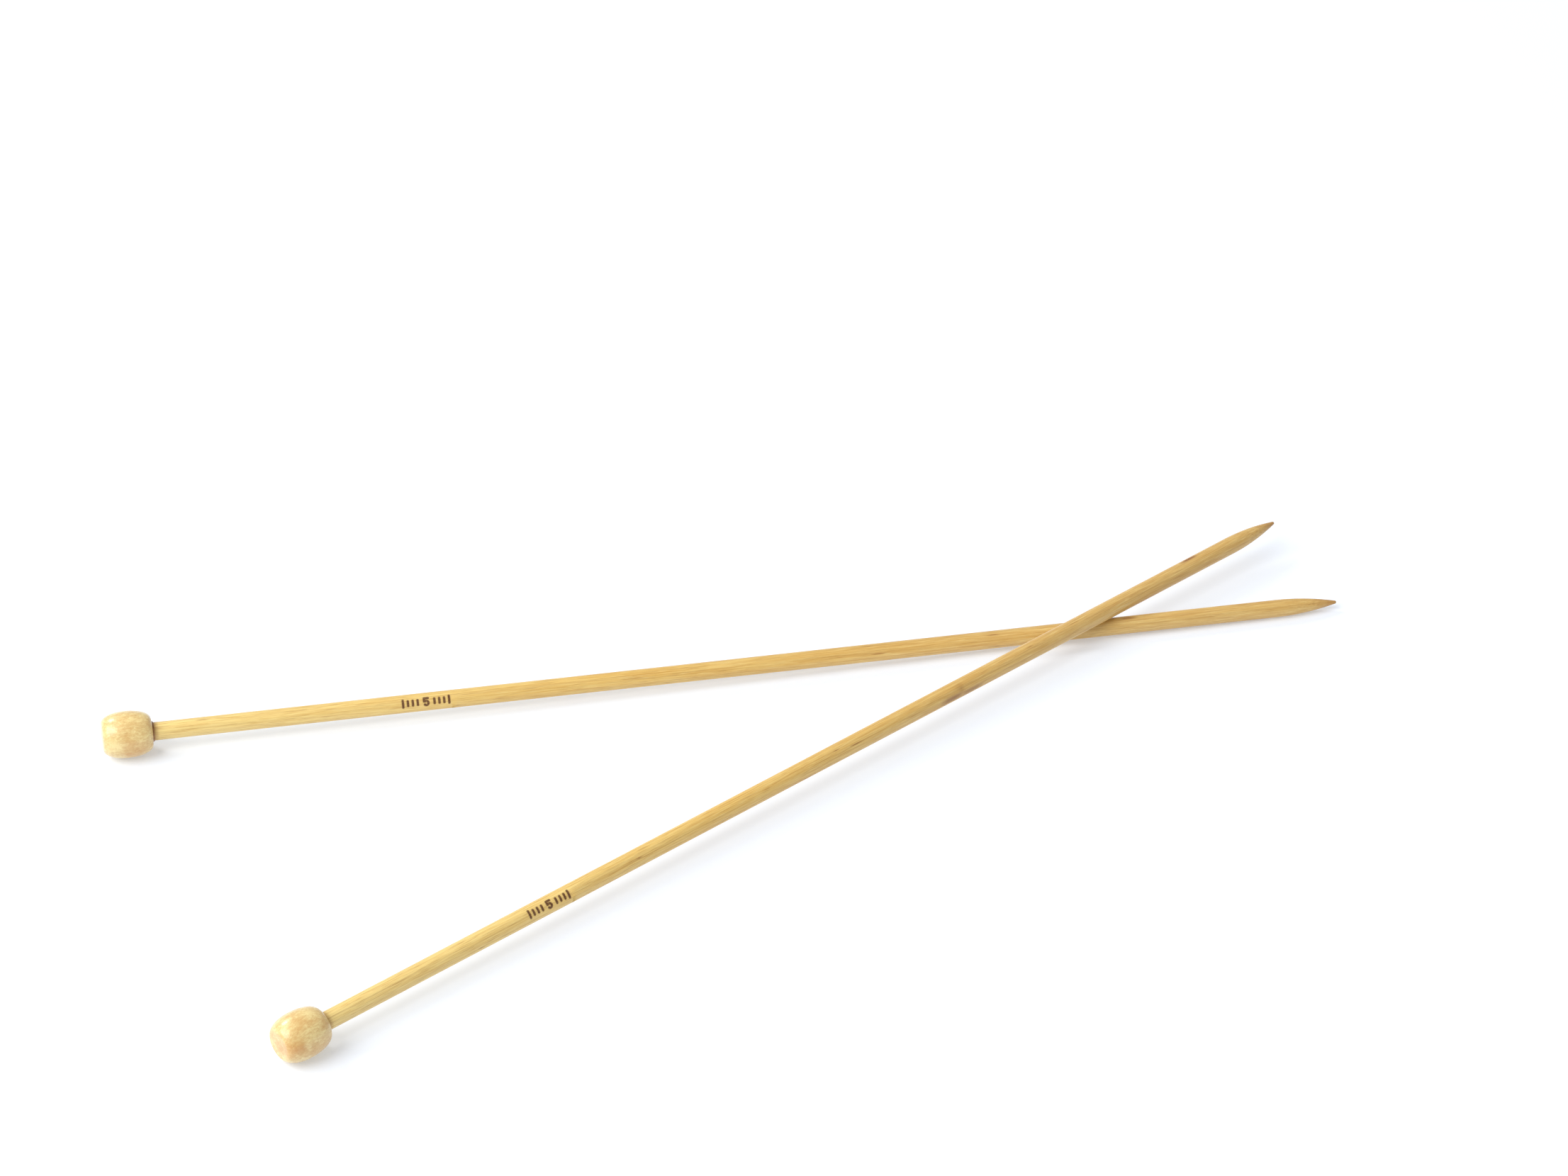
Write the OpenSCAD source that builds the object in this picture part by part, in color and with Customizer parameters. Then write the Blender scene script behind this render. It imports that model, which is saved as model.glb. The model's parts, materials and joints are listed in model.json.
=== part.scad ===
// A pair of straight single-pointed knitting needles, lying crossed.
// +X runs along the lower needle from its knob to its point, and +Z is up.
// The origin is the middle of the pair's footprint, on the surface it lies on.

/* [Needle] */
// Overall length of one needle, from knob end to point
needle_len = 350; // [320:5:400]
// Diameter of the shaft, which is the needle's gauge
shaft_d = 5; // [4:0.5:6]
// Length of the sanded point
point_len = 18; // [10:1:30]
// Diameter of the rounded tip
tip_d = 1; // [0.6:0.1:2]

/* [Knob] */
// Largest diameter of the barrel knob
knob_d = 12.8; // [11:0.1:16]
// Length of the knob
knob_len = 13.4; // [10:0.1:18]
// Distance from the knob's end face to its widest circle
knob_wide_at = 6.4; // [5:0.1:8]
// Diameter of the knob's flat end faces
knob_face_d = 7.2; // [7.2:0.1:10]
// Fullness of the barrel's outline, where 2 is an ellipse
knob_fullness = 2.1; // [2:0.05:4]

/* [Glued joint] */
// Depth of the blind socket in the knob
socket_depth = 9.5; // [6:0.5:9.5]
// Thickness of the glue film
glue_film = 0.1; // [0.05:0.05:0.2]
// Width of the chamfer at the socket's mouth
mouth_chamfer = 0.3; // [0.2:0.1:0.4]
// Length of the glue bead outside the knob
bead_len = 0.5; // [0.2:0.1:1.5]

/* [Layout] */
// Angle between the two needles
cross_angle = 27.5; // [15:0.5:60]
// Distance from the lower needle's knob end to the crossing
cross_lower = 280; // [120:1:290]
// Distance from the upper needle's knob end to the crossing
cross_upper = 281.5; // [120:0.5:290]
// Clearance between the two shafts at the crossing
cross_gap = 0.08; // [0.05:0.01:0.2]

/* [Hidden] */

$fn = 96;
EPS = 0.01;
CURVE_STEPS = 12;
TIP_STEPS = 5;

shaft_r = shaft_d / 2;
tip_r = tip_d / 2;
knob_r = knob_d / 2;
face_r = knob_face_d / 2;
bore_r = shaft_r + glue_film;
socket_floor = knob_len - socket_depth;
shaft_end = socket_floor + glue_film;
point_start = needle_len - point_len;

// Heights of the two axes: a knob lies on its widest circle, the lower shaft
// touches the surface where its point starts, and the upper shaft lies on it.
lower_drop = atan((knob_r - shaft_r) / (point_start - knob_wide_at));
lower_cross_z = knob_r - (cross_lower - knob_wide_at) * tan(lower_drop);
upper_cross_z = lower_cross_z + shaft_d + cross_gap;
upper_rise = atan((upper_cross_z - knob_r) / (cross_upper - knob_wide_at));

// Radius of the sanded point, at a distance from where the point starts
function point_radius(s) = tip_r + (shaft_r - tip_r) * (1 - pow(s / (point_len - tip_r), 2));

// Half of the barrel's outline, from a flat face to the widest circle
function barrel_side(widest_z, half_len) = [
    for (i = [0 : CURVE_STEPS])
        let (a = 90 * i / CURVE_STEPS, power = 2 / knob_fullness)
        [
            face_r + (knob_r - face_r) * pow(sin(a), power),
            widest_z - half_len * pow(cos(a), power)
        ]
];

outer_side = barrel_side(knob_wide_at, knob_wide_at);
inner_side = barrel_side(knob_wide_at, knob_wide_at - knob_len);

// Middle of the footprint, from the outermost points of both needles
knob_reach = max([for (p = concat(outer_side, inner_side))
    (cross_upper - p[1]) * sin(cross_angle) + p[0] * cos(cross_angle)]);
tip_reach = (needle_len - cross_upper - tip_r) * sin(cross_angle) + tip_r;
centre_x = needle_len / 2;
centre_y = (tip_reach - knob_reach) / 2;

// One needle's parts stand on their knob's end face, with the point up.

module shaft() {
    straight = [[0, shaft_end], [shaft_r, shaft_end]];
    taper = [for (i = [0 : CURVE_STEPS])
        let (s = (point_len - tip_r) * i / CURVE_STEPS)
        [point_radius(s), point_start + s]];
    tip = [for (i = [1 : TIP_STEPS])
        let (a = 90 * i / TIP_STEPS)
        [tip_r * cos(a), needle_len - tip_r + tip_r * sin(a)]];
    rotate_extrude()
        polygon(concat(straight, taper, tip));
}

module knob() {
    inner_rim = [for (i = [CURVE_STEPS - 1 : -1 : 0]) inner_side[i]];
    difference() {
        rotate_extrude()
            polygon(concat([[0, 0]], outer_side, inner_rim, [[0, knob_len]]));
        translate([0, 0, socket_floor])
            cylinder(r = bore_r, h = socket_depth + 1);
        translate([0, 0, knob_len - mouth_chamfer])
            cylinder(
                r1 = bore_r,
                r2 = bore_r + mouth_chamfer + EPS,
                h = mouth_chamfer + EPS
            );
    }
}

module glue() {
    rotate_extrude()
        polygon([
            [0, socket_floor],
            [bore_r, socket_floor],
            [bore_r, knob_len - mouth_chamfer],
            [bore_r + mouth_chamfer, knob_len],
            [shaft_r, knob_len + bead_len],
            [shaft_r, shaft_end],
            [0, shaft_end]
        ]);
}

// Places a standing needle part as the lower needle
module lay_lower() {
    translate([cross_lower - centre_x, -centre_y, lower_cross_z])
        rotate([0, 90 + lower_drop, 0])
            translate([0, 0, -cross_lower])
                children();
}

// Places a standing needle part as the upper needle
module lay_upper() {
    translate([cross_lower - centre_x, -centre_y, upper_cross_z])
        rotate([0, 90 - upper_rise, cross_angle])
            translate([0, 0, -cross_upper])
                children();
}

module lower_shaft() {
    color("burlywood") lay_lower() shaft();
}

module lower_knob() {
    color("wheat") lay_lower() knob();
}

module lower_glue() {
    color("saddlebrown") lay_lower() glue();
}

module upper_shaft() {
    color("burlywood") lay_upper() shaft();
}

module upper_knob() {
    color("wheat") lay_upper() knob();
}

module upper_glue() {
    color("saddlebrown") lay_upper() glue();
}

lower_shaft();
lower_knob();
lower_glue();
upper_shaft();
upper_knob();
upper_glue();
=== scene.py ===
"""Looks of a crossed pair of bamboo knitting needles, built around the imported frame."""

import json
import math

import bpy
import numpy as np
from mathutils import Matrix, Vector


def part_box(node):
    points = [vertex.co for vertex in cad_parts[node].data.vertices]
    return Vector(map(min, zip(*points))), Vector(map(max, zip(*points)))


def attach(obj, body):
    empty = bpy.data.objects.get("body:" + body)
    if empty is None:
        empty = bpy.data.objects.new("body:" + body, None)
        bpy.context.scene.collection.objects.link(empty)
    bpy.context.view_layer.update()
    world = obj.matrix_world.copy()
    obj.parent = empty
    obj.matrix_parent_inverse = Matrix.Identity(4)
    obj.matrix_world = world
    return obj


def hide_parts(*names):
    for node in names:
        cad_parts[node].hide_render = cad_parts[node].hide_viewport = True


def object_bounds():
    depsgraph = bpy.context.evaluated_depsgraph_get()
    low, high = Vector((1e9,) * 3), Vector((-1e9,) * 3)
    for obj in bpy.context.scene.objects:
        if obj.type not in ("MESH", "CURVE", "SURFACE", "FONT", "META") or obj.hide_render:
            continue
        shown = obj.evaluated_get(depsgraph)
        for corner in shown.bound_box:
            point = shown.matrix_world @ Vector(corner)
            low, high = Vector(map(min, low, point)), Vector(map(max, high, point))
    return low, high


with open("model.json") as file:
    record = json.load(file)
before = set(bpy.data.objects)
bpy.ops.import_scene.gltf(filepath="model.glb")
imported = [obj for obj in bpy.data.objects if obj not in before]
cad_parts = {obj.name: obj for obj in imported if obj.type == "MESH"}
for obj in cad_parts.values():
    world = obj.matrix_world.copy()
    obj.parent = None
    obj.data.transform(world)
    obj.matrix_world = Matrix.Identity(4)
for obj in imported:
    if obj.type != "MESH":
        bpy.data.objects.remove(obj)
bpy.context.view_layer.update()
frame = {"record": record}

MM = 0.001
TURN = 2 * math.pi

# Spots and patches are (place along, angle, half length, half width, strength), in millimetres
# and radians. Angle 0 faces the viewer at rest, and a larger angle is lower down.
NEEDLES = {
    "lower": {
        "body": "lower_needle",
        "mount": "lower_knob_end",
        "seed": 11,
        "grain_shift": (3.1, -1.7, 40.0),
        "mark_centre": 88.0,
        # A dark reddish spot on the top edge, just past where the upper needle crosses over this one
        "spots": [(288.0, -0.9, 2.2, 0.5, 0.8)],
        "patches": [(8.5, 0.95, 3.2, 2.4, 0.85)],
    },
    "upper": {
        "body": "upper_needle",
        "mount": "upper_knob_end",
        "seed": 23,
        "grain_shift": (-5.3, 2.9, 310.0),
        "mark_centre": 84.0,
        "spots": [
            (316.3, -1.05, 2.8, 0.6, 1.0),
            (223.3, 0.75, 3.6, 0.9, 0.75),
            (230.6, 0.85, 3.8, 0.7, 0.65),
            (226.8, 0.2, 1.2, 2.0, 0.35),
        ],
        "patches": [(1.9, 0.5, 2.4, 2.2, 1.0), (9.5, 1.1, 3.5, 2.2, 0.7)],
    },
}

# Needle dimensions in millimetres, the same as the frame's
SHAFT_R = 2.5
TIP_R = 0.5
POINT_LEN = 18.0
KNOB_R = 6.4
KNOB_LEN = 13.4
KNOB_WIDE_AT = 6.4
KNOB_FACE_R = 3.6
KNOB_FULLNESS = 2.1
SOCKET_DEPTH = 9.5
GLUE_FILM = 0.1
MOUTH_CHAMFER = 0.3
BEAD_LEN = 0.5

# Mesh detail: sides of each turned solid, millimetres between a shaft's rings, and how many
# rings make the tip, half a barrel and the bead
SHAFT_SIDES = 160
KNOB_SIDES = 160
GLUE_SIDES = 96
ROW_STRAIGHT = 1.4
ROW_MARK = 0.1
ROW_POINT = 0.35
TIP_ROWS = 9
BARREL_ROWS = 40
BEAD_ROWS = 8

# Rings on the flat faces, as radii in millimetres. MOUTH_RIM is from the chamfer to the next ring
SHAFT_END_RINGS = (1.2, 2.4)
KNOB_END_RINGS = (0.6, 1.2, 1.8, 2.4, 3.0, 3.5)
SOCKET_FLOOR_RING = 1.0
MOUTH_RIM = 0.3

# The tip's last ring in degrees, the smallest radius that a cut leaves, how far the glue
# reaches into the shaft, and where the glue's inside starts, as a share of the bead's length
TIP_LAST_ANGLE = 84
LEAST_RADIUS = 0.02
GLUE_OVERLAP = 0.01
BEAD_INSIDE = 0.95

# Depths of the uneven hand finish, in millimetres
SHAFT_WOBBLE = 0.006
POINT_FACET = 0.02
KNOB_OVAL = 0.03
KNOB_FACET = 0.022
TOOL_LINE = 0.012
BEAD_WAVE = 0.06

# Where the uneven finish fades in, in millimetres: outwards from the knob's end face, and along
# the needle from the knob's mouth for the shaft and for the bead
KNOB_FADE = 0.8
SHAFT_FADE = 3
BEAD_FADE = (-0.05, 0.2)

# Fibre bundles on a shaft. The pairs are the least and the most, in millimetres or radians
STREAK_COUNT = 230
STREAK_HALF_LEN = (6, 45)
STREAK_HALF_ANGLE = (0.03, 0.075)
STREAK_STRENGTH = (0.25, 1.0)
STREAK_DEPTH = 0.028

# Small dark flecks scattered on a shaft, in millimetres
FLECK_COUNT = 16
FLECK_HALF_LEN = (0.7, 2.0)
FLECK_HALF_WIDTH = (0.10, 0.2)
FLECK_STRENGTH = 0.85
FLECK_MARGIN = 25

# The burnt gauge mark: plain numeral between groups of short lines, in millimetres. MARK_EDGE
# says where a line starts to fade and where it ends, as shares of its width
MARK_HALF_LEN = 7.2
MARK_STROKE = 0.66
MARK_EDGE = (0.32, 0.75)
MARK_HEIGHT = 2.0
MARK_DEPTH = 0.05
NUMERAL_WIDTH = 1.5
TICKS_A_SIDE = 4
TICK_GAP = 1.35
TICK_START = 2.3

# The glue stain on the shaft, with the knob's shadow painted into it, in millimetres: its length, the
# share of it at full strength, and how ragged its edge is
STAIN_SHADOW_LEN = 1.7
STAIN_SHADOW_FULL = 0.45
STAIN_SHADOW_RAGGED = (0.25, 0.15)

# Camera, in millimetres and degrees
CAMERA_TARGET = (21.6, 86.0, 3.0)
CAMERA_DISTANCE = 1310.0
CAMERA_AZIMUTH = -13.77
CAMERA_ELEVATION = 37.23
CAMERA_ROLL = 1.82
CAMERA_LENS = 105.8
CAMERA_SENSOR = 36.0
CAMERA_CLIP = 50000

# Round lamps aimed at the origin: spot and width in metres, and power in watts
LAMPS = {
    "key": {"spot": (-1.84, -0.52, 1.92), "size": 2.3, "power": 68.0},
    "rim": {"spot": (-0.84, 1.20, 1.24), "size": 0.52, "power": 10.0},
}
LAMP_COLOR = (1.0, 0.99, 0.97)
SKY_COLOR = (0.98, 0.99, 1.0, 1)
SKY_STRENGTH = 0.50

# Floor, in metres. Its faint glow keeps it white where the lamps fall off
FLOOR_REACH = 6.0
FLOOR_GAP = 0.02 * MM
FLOOR_COLOR = (0.66, 0.70, 0.76, 1)
FLOOR_GLOW = (0.92, 0.94, 1.0, 1)
FLOOR_GLOW_STRENGTH = 0.31


# ---------------------------------------------------------------- geometry

def to_viewer():
    """Direction from the object to the camera."""
    azimuth = math.radians(CAMERA_AZIMUTH)
    elevation = math.radians(CAMERA_ELEVATION)
    return Vector((
        math.sin(azimuth) * math.cos(elevation),
        -math.cos(azimuth) * math.cos(elevation),
        math.sin(elevation),
    ))


def needle_frame(mount_name):
    """Origin at the knob's end face, local +Z along the needle, local +X towards the viewer."""
    mount = next(m for m in frame["record"]["mounts"] if m["name"] == mount_name)
    origin = Vector(mount["pos_m"])
    along = -Vector(mount["axis"]).normalized()
    viewer = to_viewer()
    facing = (viewer - along * viewer.dot(along)).normalized()
    side = along.cross(facing)
    return Matrix((
        (facing.x, side.x, along.x, origin.x),
        (facing.y, side.y, along.y, origin.y),
        (facing.z, side.z, along.z, origin.z),
        (0, 0, 0, 1),
    ))


def needle_length():
    """Distance from the knob's end face to the point, in millimetres, on the needle along +X."""
    matrix = needle_frame(NEEDLES["lower"]["mount"])
    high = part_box("lower_shaft")[1]
    return (high[0] - matrix[0][3]) / matrix[0][2] / MM


def revolve(name, rows, sides, matrix, relief, attributes):
    """A closed turned solid.

    rows are (radius, z) in millimetres, and a point on the axis closes each end.
    relief(r, a, z) says how deep the surface is cut at each point, and attributes holds one
    such rule for each named value.
    """
    rows = np.array(rows, float)
    radius, height = rows[:, 0], rows[:, 1]
    angle = np.arange(sides) * TURN / sides
    r_grid = np.repeat(radius[:, None], sides, axis=1)
    z_grid = np.repeat(height[:, None], sides, axis=1)
    a_grid = np.repeat(angle[None, :], len(rows), axis=0)
    r_grid = np.maximum(r_grid - relief(r_grid, a_grid, z_grid), LEAST_RADIUS)
    x, y = r_grid * np.cos(a_grid), r_grid * np.sin(a_grid)
    ring = np.stack([x, y, z_grid], axis=-1).reshape(-1, 3)
    count = len(rows)
    start = np.array([[0, 0, height[0]]])
    end = np.array([[0, 0, height[-1]]])
    local = np.concatenate([ring, start, end])
    i, j = np.meshgrid(np.arange(count - 1), np.arange(sides), indexing="ij")
    k = (j + 1) % sides
    corners = [i * sides + j, i * sides + k, (i + 1) * sides + k, (i + 1) * sides + j]
    quads = np.stack(corners, axis=-1)
    first, last = count * sides, count * sides + 1
    fans = [[first, (s + 1) % sides, s] for s in range(sides)]
    base = (count - 1) * sides
    fans += [[last, base + s, base + (s + 1) % sides] for s in range(sides)]
    rotation = np.array(matrix.to_3x3())
    world = local * MM @ rotation.T + np.array(matrix.translation)
    mesh = bpy.data.meshes.new(name)
    mesh.from_pydata(world.tolist(), [], quads.reshape(-1, 4).tolist() + fans)
    mesh.polygons.foreach_set("use_smooth", np.ones(len(mesh.polygons), bool))
    store_vectors(mesh, "grain", local)
    for key, rule in attributes.items():
        values = np.append(rule(r_grid, a_grid, z_grid).ravel(), [0.0, 0.0])
        store_values(mesh, key, values)
    mesh.update()
    piece = bpy.data.objects.new(name, mesh)
    bpy.context.scene.collection.objects.link(piece)
    return piece


def store_values(mesh, key, values):
    """Gives each vertex a number that a material can read."""
    layer = mesh.attributes.new(key, "FLOAT", "POINT")
    layer.data.foreach_set("value", values.astype(np.float32))


def store_vectors(mesh, key, vectors):
    """Gives each vertex a vector that a material can read."""
    layer = mesh.attributes.new(key, "FLOAT_VECTOR", "POINT")
    layer.data.foreach_set("vector", vectors.astype(np.float32).ravel())


def smooth_step(low, high, value):
    """0 below low, 1 above high, and an even curve between them."""
    t = np.clip((value - low) / (high - low), 0, 1)
    return t * t * (3 - 2 * t)


def angle_between(a, b):
    """The short way round from b to a, in radians."""
    return (a - b + math.pi) % TURN - math.pi


# ------------------------------------------------------------------ shaft

def point_radius(s):
    """Radius of the sanded point, at a distance from where it starts."""
    return TIP_R + (SHAFT_R - TIP_R) * (1 - (s / (POINT_LEN - TIP_R)) ** 2)


def shaft_rows(length, mark_centre):
    """Outline of the shaft, from its end in the socket to its rounded tip."""
    start = KNOB_LEN - SOCKET_DEPTH + GLUE_FILM
    mark_from, mark_to = mark_centre - MARK_HALF_LEN, mark_centre + MARK_HALF_LEN
    point_from = length - POINT_LEN
    heights = np.concatenate([
        np.arange(start, mark_from, ROW_STRAIGHT),
        np.arange(mark_from, mark_to, ROW_MARK),
        np.arange(mark_to, point_from, ROW_STRAIGHT),
    ])
    rows = [(r, start) for r in SHAFT_END_RINGS] + [(SHAFT_R, z) for z in heights]
    taper = np.arange(0, POINT_LEN - TIP_R, ROW_POINT)
    rows += [(point_radius(s), point_from + s) for s in taper]
    tip = np.radians(np.linspace(0, TIP_LAST_ANGLE, TIP_ROWS))
    rows += [(TIP_R * math.cos(a), length - TIP_R + TIP_R * math.sin(a)) for a in tip]
    return rows


def make_streaks(rng, length):
    """Fibre bundles, spread at random over the shaft outside the knob."""
    return [
        {
            "angle": rng.uniform(0, TURN),
            "middle": rng.uniform(KNOB_LEN, length),
            "half_len": rng.uniform(*STREAK_HALF_LEN),
            "half_angle": rng.uniform(*STREAK_HALF_ANGLE),
            "strength": rng.uniform(*STREAK_STRENGTH),
        }
        for _ in range(STREAK_COUNT)
    ]


def streak_field(streaks, a, z):
    """How much of a fibre bundle shows at each point, from 0 to 1."""
    field = np.zeros_like(a)
    for s in streaks:
        rows = np.abs(z[:, 0] - s["middle"]) < s["half_len"]
        if not rows.any():
            continue
        across = angle_between(a[rows], s["angle"]) / s["half_angle"]
        along = (z[rows] - s["middle"]) / s["half_len"]
        shown = s["strength"] * np.exp(-across ** 2) * (1 - along ** 2)
        field[rows] = np.maximum(field[rows], shown)
    return field


def numeral_five():
    """Strokes of a plain 5 in a box from -1 to 1, bowl drawn as an arc."""
    bowl = np.radians(np.linspace(125, -140, 12))
    stem = [(0.75, 1.0), (-0.7, 1.0), (-0.75, 0.12)]
    return stem + [(0.05 + 0.75 * math.cos(t), -0.38 + 0.62 * math.sin(t)) for t in bowl]


def mark_strokes():
    """Segments of the gauge mark, in millimetres: along the shaft and around it."""
    digit = [(x * NUMERAL_WIDTH / 2, y * MARK_HEIGHT / 2) for x, y in numeral_five()]
    strokes = list(zip(digit[:-1], digit[1:]))
    for side in (-1, 1):
        for n in range(TICKS_A_SIDE):
            x = side * (TICK_START + n * TICK_GAP)
            reach = MARK_HEIGHT / 2 if n == TICKS_A_SIDE - 1 else MARK_HEIGHT / 3
            strokes.append(((x, -reach), (x, reach)))
    return strokes


def stroke_distance(u, v, strokes):
    """Distance from each point to the nearest stroke."""
    nearest = np.full(u.shape, np.inf)
    for (ax, ay), (bx, by) in strokes:
        dx, dy = bx - ax, by - ay
        t = np.clip(((u - ax) * dx + (v - ay) * dy) / (dx * dx + dy * dy), 0, 1)
        nearest = np.minimum(nearest, np.hypot(u - ax - t * dx, v - ay - t * dy))
    return nearest


def mark_field(a, z, centre):
    """Where the shaft is burnt, from 0 to 1. Local +X faces the viewer at rest."""
    burn = np.zeros_like(a)
    rows = np.abs(z[:, 0] - centre) <= MARK_HALF_LEN
    around = -angle_between(a[rows], 0.0) * SHAFT_R
    far = stroke_distance(z[rows] - centre, around, mark_strokes())
    fade_from, fade_to = (MARK_STROKE * share for share in MARK_EDGE)
    burn[rows] = 1 - smooth_step(fade_from, fade_to, far)
    return burn


def fleck_field(r, a, z, flecks):
    """Soft-edged flecks, each where and as strong as its five numbers say."""
    field = np.zeros_like(a)
    for place, angle, half_len, half_width, strength in flecks:
        along = (z - place) / half_len
        across = angle_between(a, angle) * r / half_width
        field = np.maximum(field, strength * np.exp(-(along ** 4) - across ** 2))
    return field


def stain_and_shadow_field(a, z, wave):
    """Glue that has soaked into the shaft where it leaves the knob, together with the knob's shadow
    painted there.
    """
    coarse, fine = STAIN_SHADOW_RAGGED
    ragged = coarse * np.sin(3 * a + wave[3]) + fine * np.sin(7 * a + wave[0])
    full_to = KNOB_LEN + STAIN_SHADOW_LEN * STAIN_SHADOW_FULL
    return 1 - smooth_step(full_to, KNOB_LEN + STAIN_SHADOW_LEN, z + ragged)


def make_flecks(rng, length):
    """Small dark flecks, spread at random, in the same form as a needle's spots."""
    return [
        (
            rng.uniform(FLECK_MARGIN, length - FLECK_MARGIN),
            rng.uniform(0, TURN),
            rng.uniform(*FLECK_HALF_LEN),
            rng.uniform(*FLECK_HALF_WIDTH),
            FLECK_STRENGTH,
        )
        for _ in range(FLECK_COUNT)
    ]


def build_shaft(name, spec, matrix, length):
    """Bamboo shaft, cut along its fibres and burnt with the gauge mark."""
    rng = np.random.default_rng(spec["seed"])
    streaks = make_streaks(rng, length)
    wave = rng.uniform(0, TURN, 4)
    flecks = make_flecks(rng, length) + spec["spots"]
    point_from = length - POINT_LEN
    mark_centre = spec["mark_centre"]

    def relief(r, a, z):
        straight = 1 - smooth_step(point_from - 2, point_from + 6, z)
        exposed = smooth_step(KNOB_LEN, KNOB_LEN + SHAFT_FADE, z)
        groove = STREAK_DEPTH * streak_field(streaks, a, z) * straight
        wobble = SHAFT_WOBBLE * (2 + np.sin(2 * a + wave[0] + z / 37) + np.sin(z / 23 + wave[1]))
        facets = POINT_FACET * (1 - straight) * (1 + np.sin(5 * a + wave[2] + z / 3.1)) / 2
        sanded = facets * np.minimum(r / SHAFT_R, 1)
        return exposed * (groove + wobble) + sanded + MARK_DEPTH * mark_field(a, z, mark_centre)

    return revolve(
        name, shaft_rows(length, mark_centre), SHAFT_SIDES, matrix, relief,
        {
            "fibre": lambda r, a, z: streak_field(streaks, a, z),
            "burn": lambda r, a, z: mark_field(a, z, mark_centre),
            "dark_flecks_and_spots": lambda r, a, z: fleck_field(r, a, z, flecks),
            "stain_and_shadow": lambda r, a, z: stain_and_shadow_field(a, z, wave),
        },
    )


# ------------------------------------------------------------------- knob

def barrel_side(widest, half_len):
    """Half of the barrel's outline, from a flat face to the widest circle."""
    power = 2 / KNOB_FULLNESS
    rows = []
    for a in np.radians(np.linspace(0, 90, BARREL_ROWS)):
        grow = math.sin(a) ** power
        rows.append((
            KNOB_FACE_R + (KNOB_R - KNOB_FACE_R) * grow,
            widest - half_len * max(math.cos(a), 0.0) ** power,
        ))
    return rows


def knob_rows():
    """Outline of the knob: end face, barrel, mouth face, then down the socket to its floor."""
    bore = SHAFT_R + GLUE_FILM
    floor = KNOB_LEN - SOCKET_DEPTH
    outer = barrel_side(KNOB_WIDE_AT, KNOB_WIDE_AT)
    inner = barrel_side(KNOB_WIDE_AT, KNOB_WIDE_AT - KNOB_LEN)[::-1][1:]
    face = [(r, 0.0) for r in KNOB_END_RINGS]
    mouth = [(bore + MOUTH_CHAMFER + rim, KNOB_LEN) for rim in (MOUTH_RIM, 0)]
    socket = [(bore, KNOB_LEN - MOUTH_CHAMFER), (bore, floor), (SOCKET_FLOOR_RING, floor)]
    return face + outer + inner + mouth + socket


def build_knob(name, spec, matrix):
    """Turned knob, a little oval, with soft facets and the lines of the turning tool."""
    rng = np.random.default_rng(spec["seed"] + 1)
    phase = rng.uniform(0, TURN, 4)

    def relief(r, a, z):
        outside = smooth_step(KNOB_FACE_R, KNOB_FACE_R + KNOB_FADE, r)
        oval = KNOB_OVAL * (1 + np.sin(2 * a + phase[0]) * smooth_step(0, 3, z))
        waves = np.sin(7 * a + phase[1] + z / 1.7) * np.sin(z / 1.3 + phase[2])
        facet = KNOB_FACET * (1 + waves) / 2
        tool_lines = TOOL_LINE * (1 + np.sin(z / 0.11 + np.sin(3 * a + phase[3]))) / 2
        return outside * (oval + facet + tool_lines)

    return revolve(
        name, knob_rows(), KNOB_SIDES, matrix, relief,
        {"amber": lambda r, a, z: fleck_field(r, a, z, spec["patches"])},
    )


# ------------------------------------------------------------------- glue

def glue_rows():
    """Glue film under and round the shaft, and the bead at the knob's mouth."""
    floor = KNOB_LEN - SOCKET_DEPTH
    bore = SHAFT_R + GLUE_FILM
    bead = [
        (bore + MOUTH_CHAMFER * (1 - t), KNOB_LEN + BEAD_LEN * math.sin(t * math.pi / 2))
        for t in np.linspace(0, 1, BEAD_ROWS)
    ]
    film = [(SOCKET_FLOOR_RING, floor), (bore, floor), (bore, KNOB_LEN - MOUTH_CHAMFER)]
    inner = SHAFT_R - GLUE_OVERLAP
    inside = [(inner, KNOB_LEN + BEAD_LEN * BEAD_INSIDE), (inner, floor + GLUE_FILM)]
    return film + bead + inside + [(SOCKET_FLOOR_RING, floor + GLUE_FILM)]


def build_glue(name, spec, matrix):
    """Glue film and its uneven bead."""
    rng = np.random.default_rng(spec["seed"] + 2)
    phase = rng.uniform(0, TURN, 2)

    def relief(r, a, z):
        past_mouth = smooth_step(KNOB_LEN + BEAD_FADE[0], KNOB_LEN + BEAD_FADE[1], z)
        outside = smooth_step(SHAFT_R, SHAFT_R + GLUE_FILM, r)
        uneven = BEAD_WAVE * (1 + np.sin(3 * a + phase[0]) * np.sin(5 * a + phase[1])) / 2
        return past_mouth * outside * uneven

    return revolve(name, glue_rows(), GLUE_SIDES, matrix, relief, {})


# -------------------------------------------------------------- materials

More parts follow.
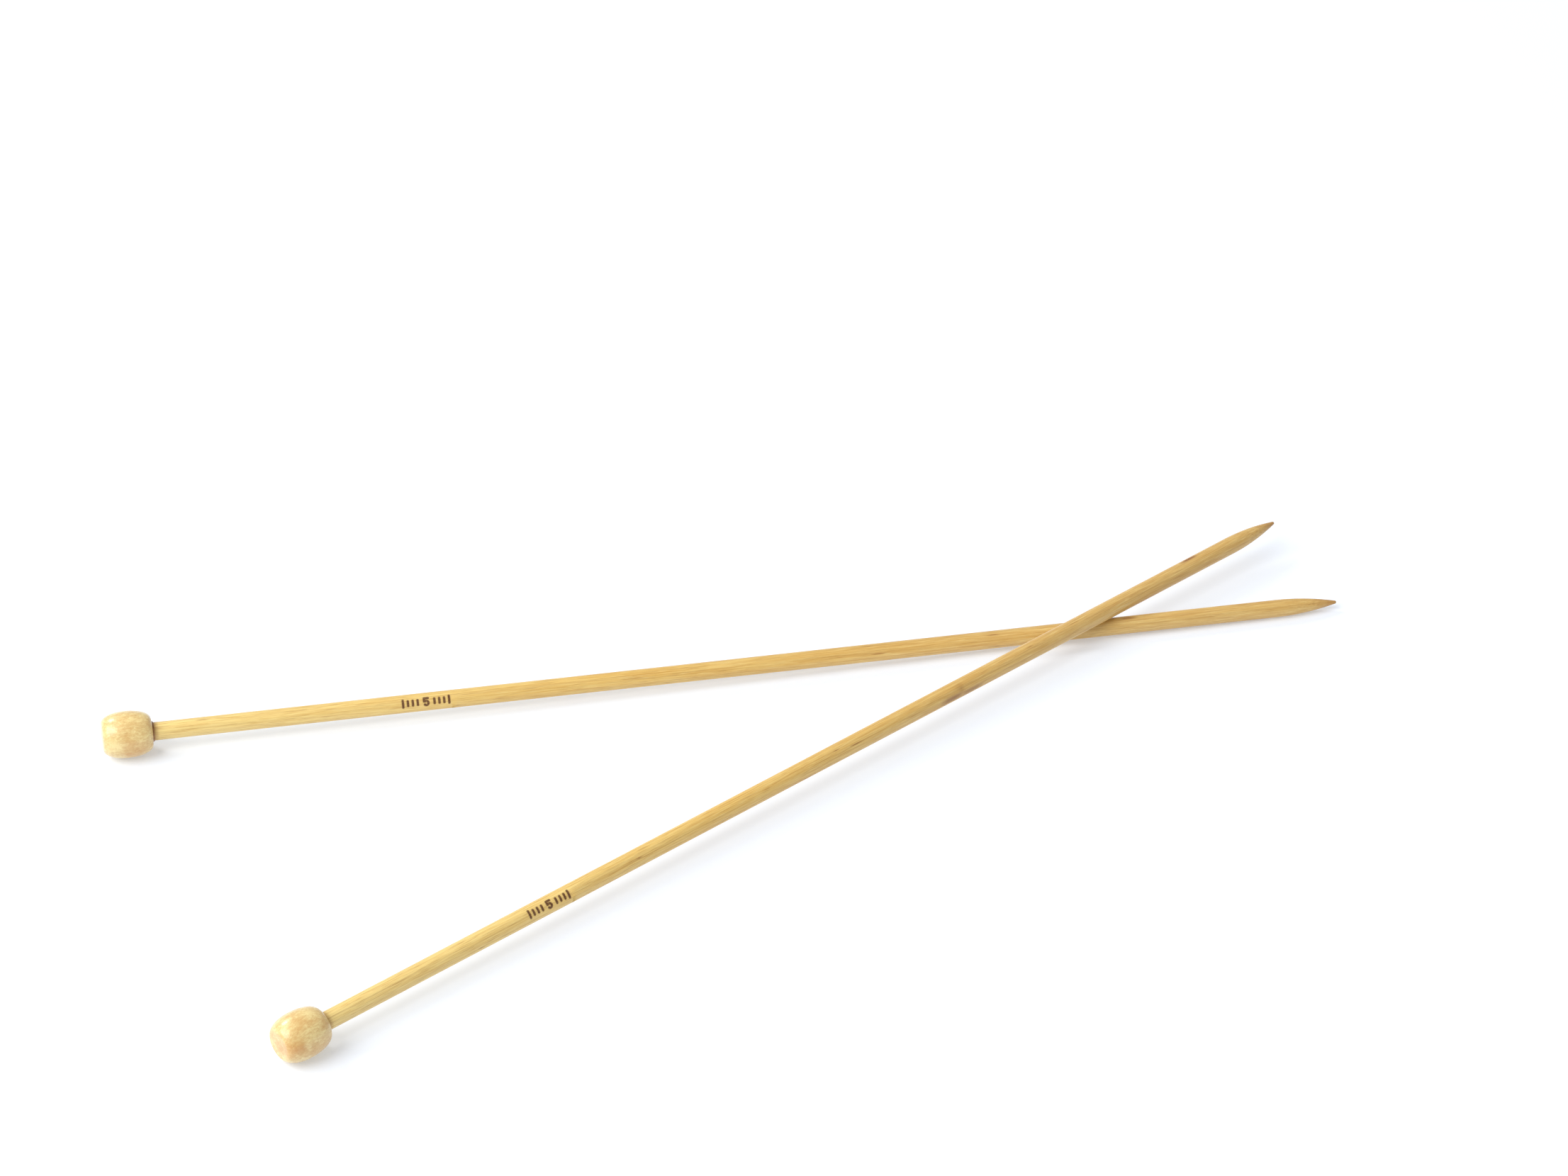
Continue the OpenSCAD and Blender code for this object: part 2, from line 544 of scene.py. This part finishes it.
class Nodes:
    """A short way to write a material's nodes."""

    def __init__(self, name):
        self.material = bpy.data.materials.new(name)
        self.material.use_nodes = True
        self.tree = self.material.node_tree
        self.shader = self.tree.nodes["Principled BSDF"]

    def add(self, kind, inputs=None, **settings):
        node = self.tree.nodes.new(kind)
        for key, value in settings.items():
            setattr(node, key, value)
        for key, value in (inputs or {}).items():
            self.feed(node.inputs[key], value)
        return node

    def feed(self, socket, value):
        if isinstance(value, bpy.types.NodeSocket):
            self.tree.links.new(value, socket)
        else:
            socket.default_value = value

    def attribute(self, key, output="Fac"):
        return self.add("ShaderNodeAttribute", attribute_name=key).outputs[output]

    def stretched(self, scale, shift):
        """The grain's own coordinates, scaled along and across the fibres."""
        grain = self.attribute("grain", "Vector")
        node = self.add("ShaderNodeMapping", {"Vector": grain, "Scale": scale, "Location": shift})
        return node.outputs["Vector"]

    def noise(self, vector, detail=3.0, roughness=0.5, distortion=0.0):
        inputs = {
            "Vector": vector,
            "Scale": 1.0,
            "Detail": detail,
            "Roughness": roughness,
            "Distortion": distortion,
        }
        return self.add("ShaderNodeTexNoise", inputs).outputs["Fac"]

    def ramp(self, factor, stops):
        node = self.add("ShaderNodeValToRGB", {"Fac": factor})
        elements = node.color_ramp.elements
        while len(elements) < len(stops):
            elements.new(0.5)
        for element, (position, color) in zip(elements, stops):
            element.position = position
            element.color = (*color, 1.0)
        return node.outputs["Color"]

    def span(self, value, low, high, to_low, to_high):
        node = self.add(
            "ShaderNodeMapRange",
            {"Value": value, "From Min": low, "From Max": high, "To Min": to_low, "To Max": to_high},
        )
        return node.outputs["Result"]

    def mix(self, factor, a, b):
        node = self.add("ShaderNodeMix", data_type="RGBA")
        self.feed(node.inputs[0], factor)
        self.feed(node.inputs[6], a if isinstance(a, bpy.types.NodeSocket) else (*a, 1.0))
        self.feed(node.inputs[7], b if isinstance(b, bpy.types.NodeSocket) else (*b, 1.0))
        return node.outputs[2]

    def math(self, operation, a, b):
        node = self.add("ShaderNodeMath", operation=operation)
        self.feed(node.inputs[0], a)
        self.feed(node.inputs[1], b)
        return node.outputs[0]

    def bump(self, height, distance, strength):
        inputs = {"Height": height, "Distance": distance, "Strength": strength}
        return self.add("ShaderNodeBump", inputs).outputs["Normal"]


def srgb(red, green, blue):
    """A colour given as 0 to 255, in linear light."""
    def linear(c):
        c /= 255
        return c / 12.92 if c <= 0.04045 else ((c + 0.055) / 1.055) ** 2.4
    return tuple(linear(c) for c in (red, green, blue))


BAMBOO_LIGHT = srgb(238, 206, 124)
BAMBOO_MID = srgb(226, 182, 92)
BAMBOO_DEEP = srgb(196, 146, 60)
# The pale is a mottle tone and also the painted light near the knob; the tan below it is painted
# shade where the light falls off towards the point
BAMBOO_PALE = srgb(246, 224, 152)
FALLOFF_SHADE_TAN = srgb(203, 164, 100)
FIBRE_DARK = srgb(156, 104, 44)
TIP_BROWN = srgb(158, 96, 44)
FLECK_AND_SPOT_BROWN = srgb(128, 66, 20)
# Brown of the glue stain, also the painted shadow of the knob on the shaft
GLUE_STAIN_SHADOW_BROWN = srgb(150, 88, 32)
BURNT = srgb(92, 50, 6)
KNOB_LIGHT = srgb(242, 220, 154)
KNOB_MID = srgb(226, 194, 128)
KNOB_WARM = srgb(214, 174, 106)
KNOB_AMBER = srgb(204, 146, 72)
KNOB_PORE = srgb(176, 126, 64)
GLUE_DARK = srgb(136, 90, 44)
GLUE_AMBER = srgb(174, 124, 66)


def bamboo(name, shift, length):
    """Waxed bamboo: long fibres, with a painted light falloff that is paler at the knob and tan at
    the point, and with burn, dark flecks and a glue stain that also paints the knob's shadow.
    """
    n = Nodes(name)
    fibres = n.noise(n.stretched((3.0, 3.0, 0.05), shift), detail=5.0, roughness=0.66)
    color = n.ramp(fibres, [(0.30, BAMBOO_DEEP), (0.46, BAMBOO_MID), (0.66, BAMBOO_LIGHT)])
    bands = n.noise(n.stretched((0.5, 0.5, 0.03), shift))
    color = n.mix(n.span(bands, 0.4, 0.68, 0.0, 0.5), color, BAMBOO_LIGHT)
    grain = n.attribute("grain", "Vector")
    along = n.add("ShaderNodeSeparateXYZ", {"Vector": grain}).outputs["Z"]
    # Painted light falloff along the shaft: paler near the knob, darkening to tan towards the point
    color = n.mix(n.span(along, KNOB_LEN, length * 0.4, 0.55, 0.0), color, BAMBOO_PALE)
    color = n.mix(n.span(along, length * 0.25, length * 0.75, 0.0, 0.6), color, FALLOFF_SHADE_TAN)
    mottle = n.noise(n.stretched((2.6, 2.6, 0.13), shift), detail=4.0, roughness=0.7)
    color = n.mix(n.span(mottle, 0.52, 0.72, 0.0, 0.6), color, BAMBOO_DEEP)
    color = n.mix(n.span(mottle, 0.46, 0.30, 0.0, 0.5), color, BAMBOO_PALE)
    dashes = n.noise(n.stretched((7.0, 7.0, 0.15), shift), detail=2.0)
    dash_mask = n.span(dashes, 0.57, 0.70, 0.0, 0.55)
    color = n.mix(dash_mask, color, FIBRE_DARK)
    color = n.mix(n.math("MULTIPLY", n.attribute("fibre"), 0.3), color, FIBRE_DARK)
    worn_tip = n.span(along, length - 8, length, 0.0, 0.6)
    color = n.mix(worn_tip, color, TIP_BROWN)
    # Dark flecks and spots, among them the spot by the crossing on the lower needle
    color = n.mix(n.math("MULTIPLY", n.attribute("dark_flecks_and_spots"), 0.9), color, FLECK_AND_SPOT_BROWN)
    # Glue stain at the knob's mouth, with the knob's shadow painted into it
    color = n.mix(n.math("MULTIPLY", n.attribute("stain_and_shadow"), 0.6), color, GLUE_STAIN_SHADOW_BROWN)
    edge = n.noise(n.stretched((5, 5, 5), shift))
    burn = n.math("MULTIPLY", n.attribute("burn"), n.span(edge, 0.3, 0.5, 0.7, 1.0))
    color = n.mix(burn, color, BURNT)
    n.feed(n.shader.inputs["Base Color"], color)
    rough = n.span(fibres, 0.3, 0.7, 0.46, 0.34)
    rough = n.math("ADD", rough, n.math("MULTIPLY", burn, 0.25))
    n.feed(n.shader.inputs["Roughness"], rough)
    fine = n.noise(n.stretched((14, 14, 0.25), shift), detail=4.0, roughness=0.6)
    relief = n.math("SUBTRACT", fine, n.math("MULTIPLY", dash_mask, 0.8))
    n.feed(n.shader.inputs["Normal"], n.bump(relief, 0.025 * MM, 0.7))
    n.shader.inputs["Coat Weight"].default_value = 0.18
    n.shader.inputs["Coat Roughness"].default_value = 0.22
    return n.material


def knob_wood(name, shift):
    """Pale polished wood with soft blotches, amber patches below the side that faces the viewer, and
    small pores.
    """
    n = Nodes(name)
    blotch = n.noise(n.stretched((0.30, 0.30, 0.22), shift), roughness=0.55)
    swirl = {"detail": 5.0, "roughness": 0.65, "distortion": 0.6}
    grain = n.noise(n.stretched((1.5, 1.5, 0.75), shift), **swirl)
    color = n.ramp(grain, [(0.22, KNOB_WARM), (0.45, KNOB_MID), (0.66, KNOB_LIGHT)])
    color = n.mix(n.span(blotch, 0.48, 0.66, 0.0, 0.4), color, KNOB_AMBER)
    color = n.mix(n.span(blotch, 0.44, 0.32, 0.0, 0.7), color, KNOB_LIGHT)
    mottle = n.noise(n.stretched((0.95, 0.95, 0.8), shift), detail=4.0, roughness=0.7)
    color = n.mix(n.span(mottle, 0.54, 0.70, 0.0, 0.5), color, KNOB_WARM)
    # Amber patches, each set below the side of the knob that faces the viewer
    patch = n.math("MULTIPLY", n.attribute("amber"), n.span(mottle, 0.3, 0.6, 0.55, 1.0))
    color = n.mix(n.math("MULTIPLY", patch, 0.9), color, KNOB_AMBER)
    pores = n.noise(n.stretched((4.5, 4.5, 1.3), shift), detail=2.0)
    pore_mask = n.span(pores, 0.60, 0.74, 0.0, 0.45)
    color = n.mix(pore_mask, color, KNOB_PORE)
    n.feed(n.shader.inputs["Base Color"], color)
    n.feed(n.shader.inputs["Roughness"], n.span(grain, 0.3, 0.7, 0.42, 0.32))
    fine = n.noise(n.stretched((8, 8, 3), shift), detail=4.0, roughness=0.6)
    relief = n.math("SUBTRACT", fine, pore_mask)
    n.feed(n.shader.inputs["Normal"], n.bump(relief, 0.03 * MM, 0.6))
    n.shader.inputs["Coat Weight"].default_value = 0.75
    n.shader.inputs["Coat Roughness"].default_value = 0.24
    return n.material


def dried_glue(name, shift):
    """Brown glue, darker in some places and shinier in others."""
    n = Nodes(name)
    mottle = n.noise(n.stretched((1.6, 1.6, 1.6), shift))
    n.feed(n.shader.inputs["Base Color"], n.ramp(mottle, [(0.4, GLUE_DARK), (0.75, GLUE_AMBER)]))
    n.feed(n.shader.inputs["Roughness"], n.span(mottle, 0.3, 0.7, 0.5, 0.3))
    n.feed(n.shader.inputs["Normal"], n.bump(mottle, 0.05 * MM, 0.5))
    return n.material


# ------------------------------------------------------------------ build

def place(piece, spec, node, slot_name, material):
    """Dresses a piece and sets it in its CAD node's place."""
    piece.data.materials.append(material)
    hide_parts(node)
    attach(piece, spec["body"])


def build_needle(key, spec, length):
    """Shaft, knob and glue of one needle."""
    matrix = needle_frame(spec["mount"])
    shift = spec["grain_shift"]
    shaft = build_shaft(key + "_shaft_turned", spec, matrix, length)
    place(shaft, spec, key + "_shaft", "bamboo", bamboo(key + "_bamboo", shift, length))
    knob = build_knob(key + "_knob_turned", spec, matrix)
    place(knob, spec, key + "_knob", "knob_wood", knob_wood(key + "_knob_wood", shift))
    glue = build_glue(key + "_glue_ring", spec, matrix)
    place(glue, spec, key + "_glue", "dried_glue", dried_glue(key + "_dried_glue", shift))


def build_floor():
    """Plain pale floor that the needles lie on."""
    mesh = bpy.data.meshes.new("floor")
    corners = [(FLOOR_REACH * x, FLOOR_REACH * y, 0) for x, y in ((-1, -1), (1, -1), (1, 1), (-1, 1))]
    mesh.from_pydata(corners, [], [(0, 1, 2, 3)])
    floor = bpy.data.objects.new("floor", mesh)
    bpy.context.scene.collection.objects.link(floor)
    n = Nodes("floor_white")
    n.shader.inputs["Base Color"].default_value = FLOOR_COLOR
    n.shader.inputs["Emission Color"].default_value = FLOOR_GLOW
    n.shader.inputs["Emission Strength"].default_value = FLOOR_GLOW_STRENGTH
    n.shader.inputs["Roughness"].default_value = 0.9
    n.shader.inputs["Specular IOR Level"].default_value = 0.0
    mesh.materials.append(n.material)
    floor.location.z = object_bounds()[0][2] - FLOOR_GAP


def build_light():
    """Even sky light and the lamps."""
    world = bpy.data.worlds.new("studio")
    world.use_nodes = True
    background = world.node_tree.nodes["Background"]
    background.inputs["Color"].default_value = SKY_COLOR
    background.inputs["Strength"].default_value = SKY_STRENGTH
    bpy.context.scene.world = world
    for name, spec in LAMPS.items():
        add_lamp(name, **spec)


def add_lamp(name, spot, size, power):
    """A round soft light aimed at the origin."""
    data = bpy.data.lights.new(name, "AREA")
    data.shape = "DISK"
    data.size = size
    data.energy = power
    data.color = LAMP_COLOR
    lamp = bpy.data.objects.new(name, data)
    lamp.location = Vector(spot)
    lamp.rotation_euler = (-lamp.location).to_track_quat("-Z", "Y").to_euler()
    bpy.context.scene.collection.objects.link(lamp)


def build_camera():
    """Camera at a fixed distance from its target, turned a little about its own axis."""
    azimuth = math.radians(CAMERA_AZIMUTH)
    roll = math.radians(CAMERA_ROLL)
    forward = -to_viewer()
    right = Vector((math.cos(azimuth), math.sin(azimuth), 0))
    up = right.cross(forward)
    rolled_right = right * math.cos(roll) + up * math.sin(roll)
    rolled_up = up * math.cos(roll) - right * math.sin(roll)
    data = bpy.data.cameras.new("camera")
    data.lens = CAMERA_LENS
    data.sensor_width = CAMERA_SENSOR
    data.clip_end = CAMERA_CLIP * MM
    camera = bpy.data.objects.new("camera", data)
    turn = Matrix((rolled_right, rolled_up, -forward)).transposed().to_4x4()
    spot = Vector(CAMERA_TARGET) * MM - forward * CAMERA_DISTANCE * MM
    camera.matrix_world = Matrix.Translation(spot) @ turn
    bpy.context.scene.collection.objects.link(camera)
    bpy.context.scene.camera = camera


build_camera()
full_length = needle_length()
for key, spec in NEEDLES.items():
    build_needle(key, spec, full_length)
build_floor()
build_light()
bpy.context.scene.view_settings.view_transform = "Standard"
